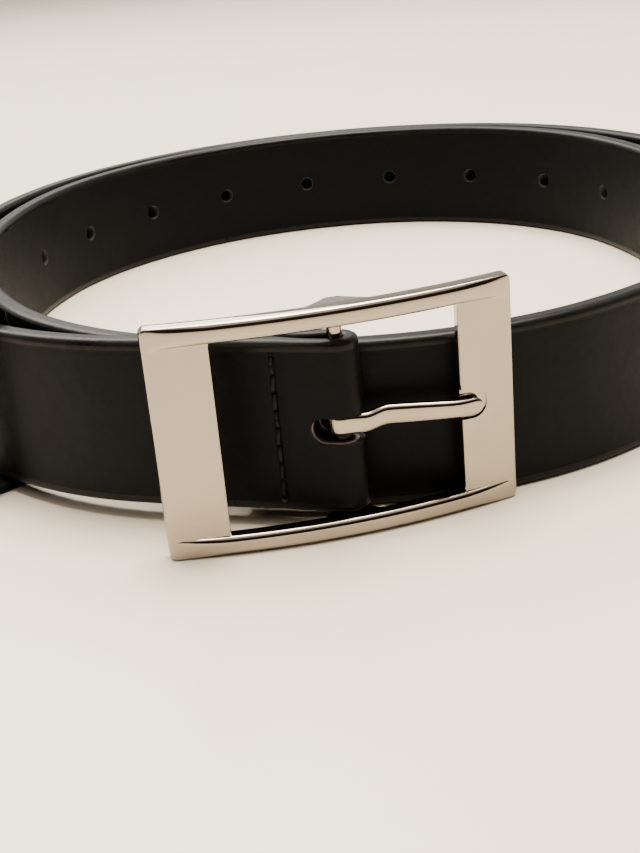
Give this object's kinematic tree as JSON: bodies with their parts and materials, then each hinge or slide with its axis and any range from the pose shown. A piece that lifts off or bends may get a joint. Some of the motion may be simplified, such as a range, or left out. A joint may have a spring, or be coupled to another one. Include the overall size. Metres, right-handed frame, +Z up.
{
  "type": "leather belt",
  "caption": "Coiled dress belt in smooth black leather with an arched rectangular centre-bar buckle, a hinged prong, a punched strap and a free keeper loop.",
  "frame": {"origin": "on the table under the middle of the coiled belt's box", "axes": "+Z up across the strap's width, the belt standing on its lower edge; -Y towards the buckle"},
  "size_m": [0.196, 0.2362, 0.0396],
  "materials": {
    "face_leather": "smooth satin",
    "core_board": "matte",
    "lining_leather": "smooth matte",
    "thread": "matte",
    "nickel": "polished nickel",
    "staple_wire": "satin"
  },
  "bodies": {
    "strap": {"strap_face": "face_leather", "strap_core": "core_board", "strap_lining": "lining_leather", "fold_stitching": "thread"},
    "buckle": {"buckle_frame": "nickel", "centre_bar": "nickel"},
    "prong": {"prong": "nickel"},
    "keeper": {"keeper_band": "face_leather", "keeper_staples": "staple_wire"}
  },
  "joints": [
    {"name": "buckle_swing", "type": "hinge", "parent": "strap", "child": "buckle", "pos_m": [-0.00744, -0.1085, 0.01965], "axis": [0, 0, -1], "range_deg": [0, 18]},
    {"name": "prong_swing", "type": "hinge", "parent": "buckle", "child": "prong", "pos_m": [-0.00744, -0.1085, 0.018], "axis": [0, 0, -1], "range_deg": [0, 110]},
    {"name": "keeper_slide", "type": "hinge", "parent": "strap", "child": "keeper", "pos_m": [-0.01457, -0.03044, 0.0175], "axis": [0, 0, -1], "range_deg": [-17, 3]}
  ]
}
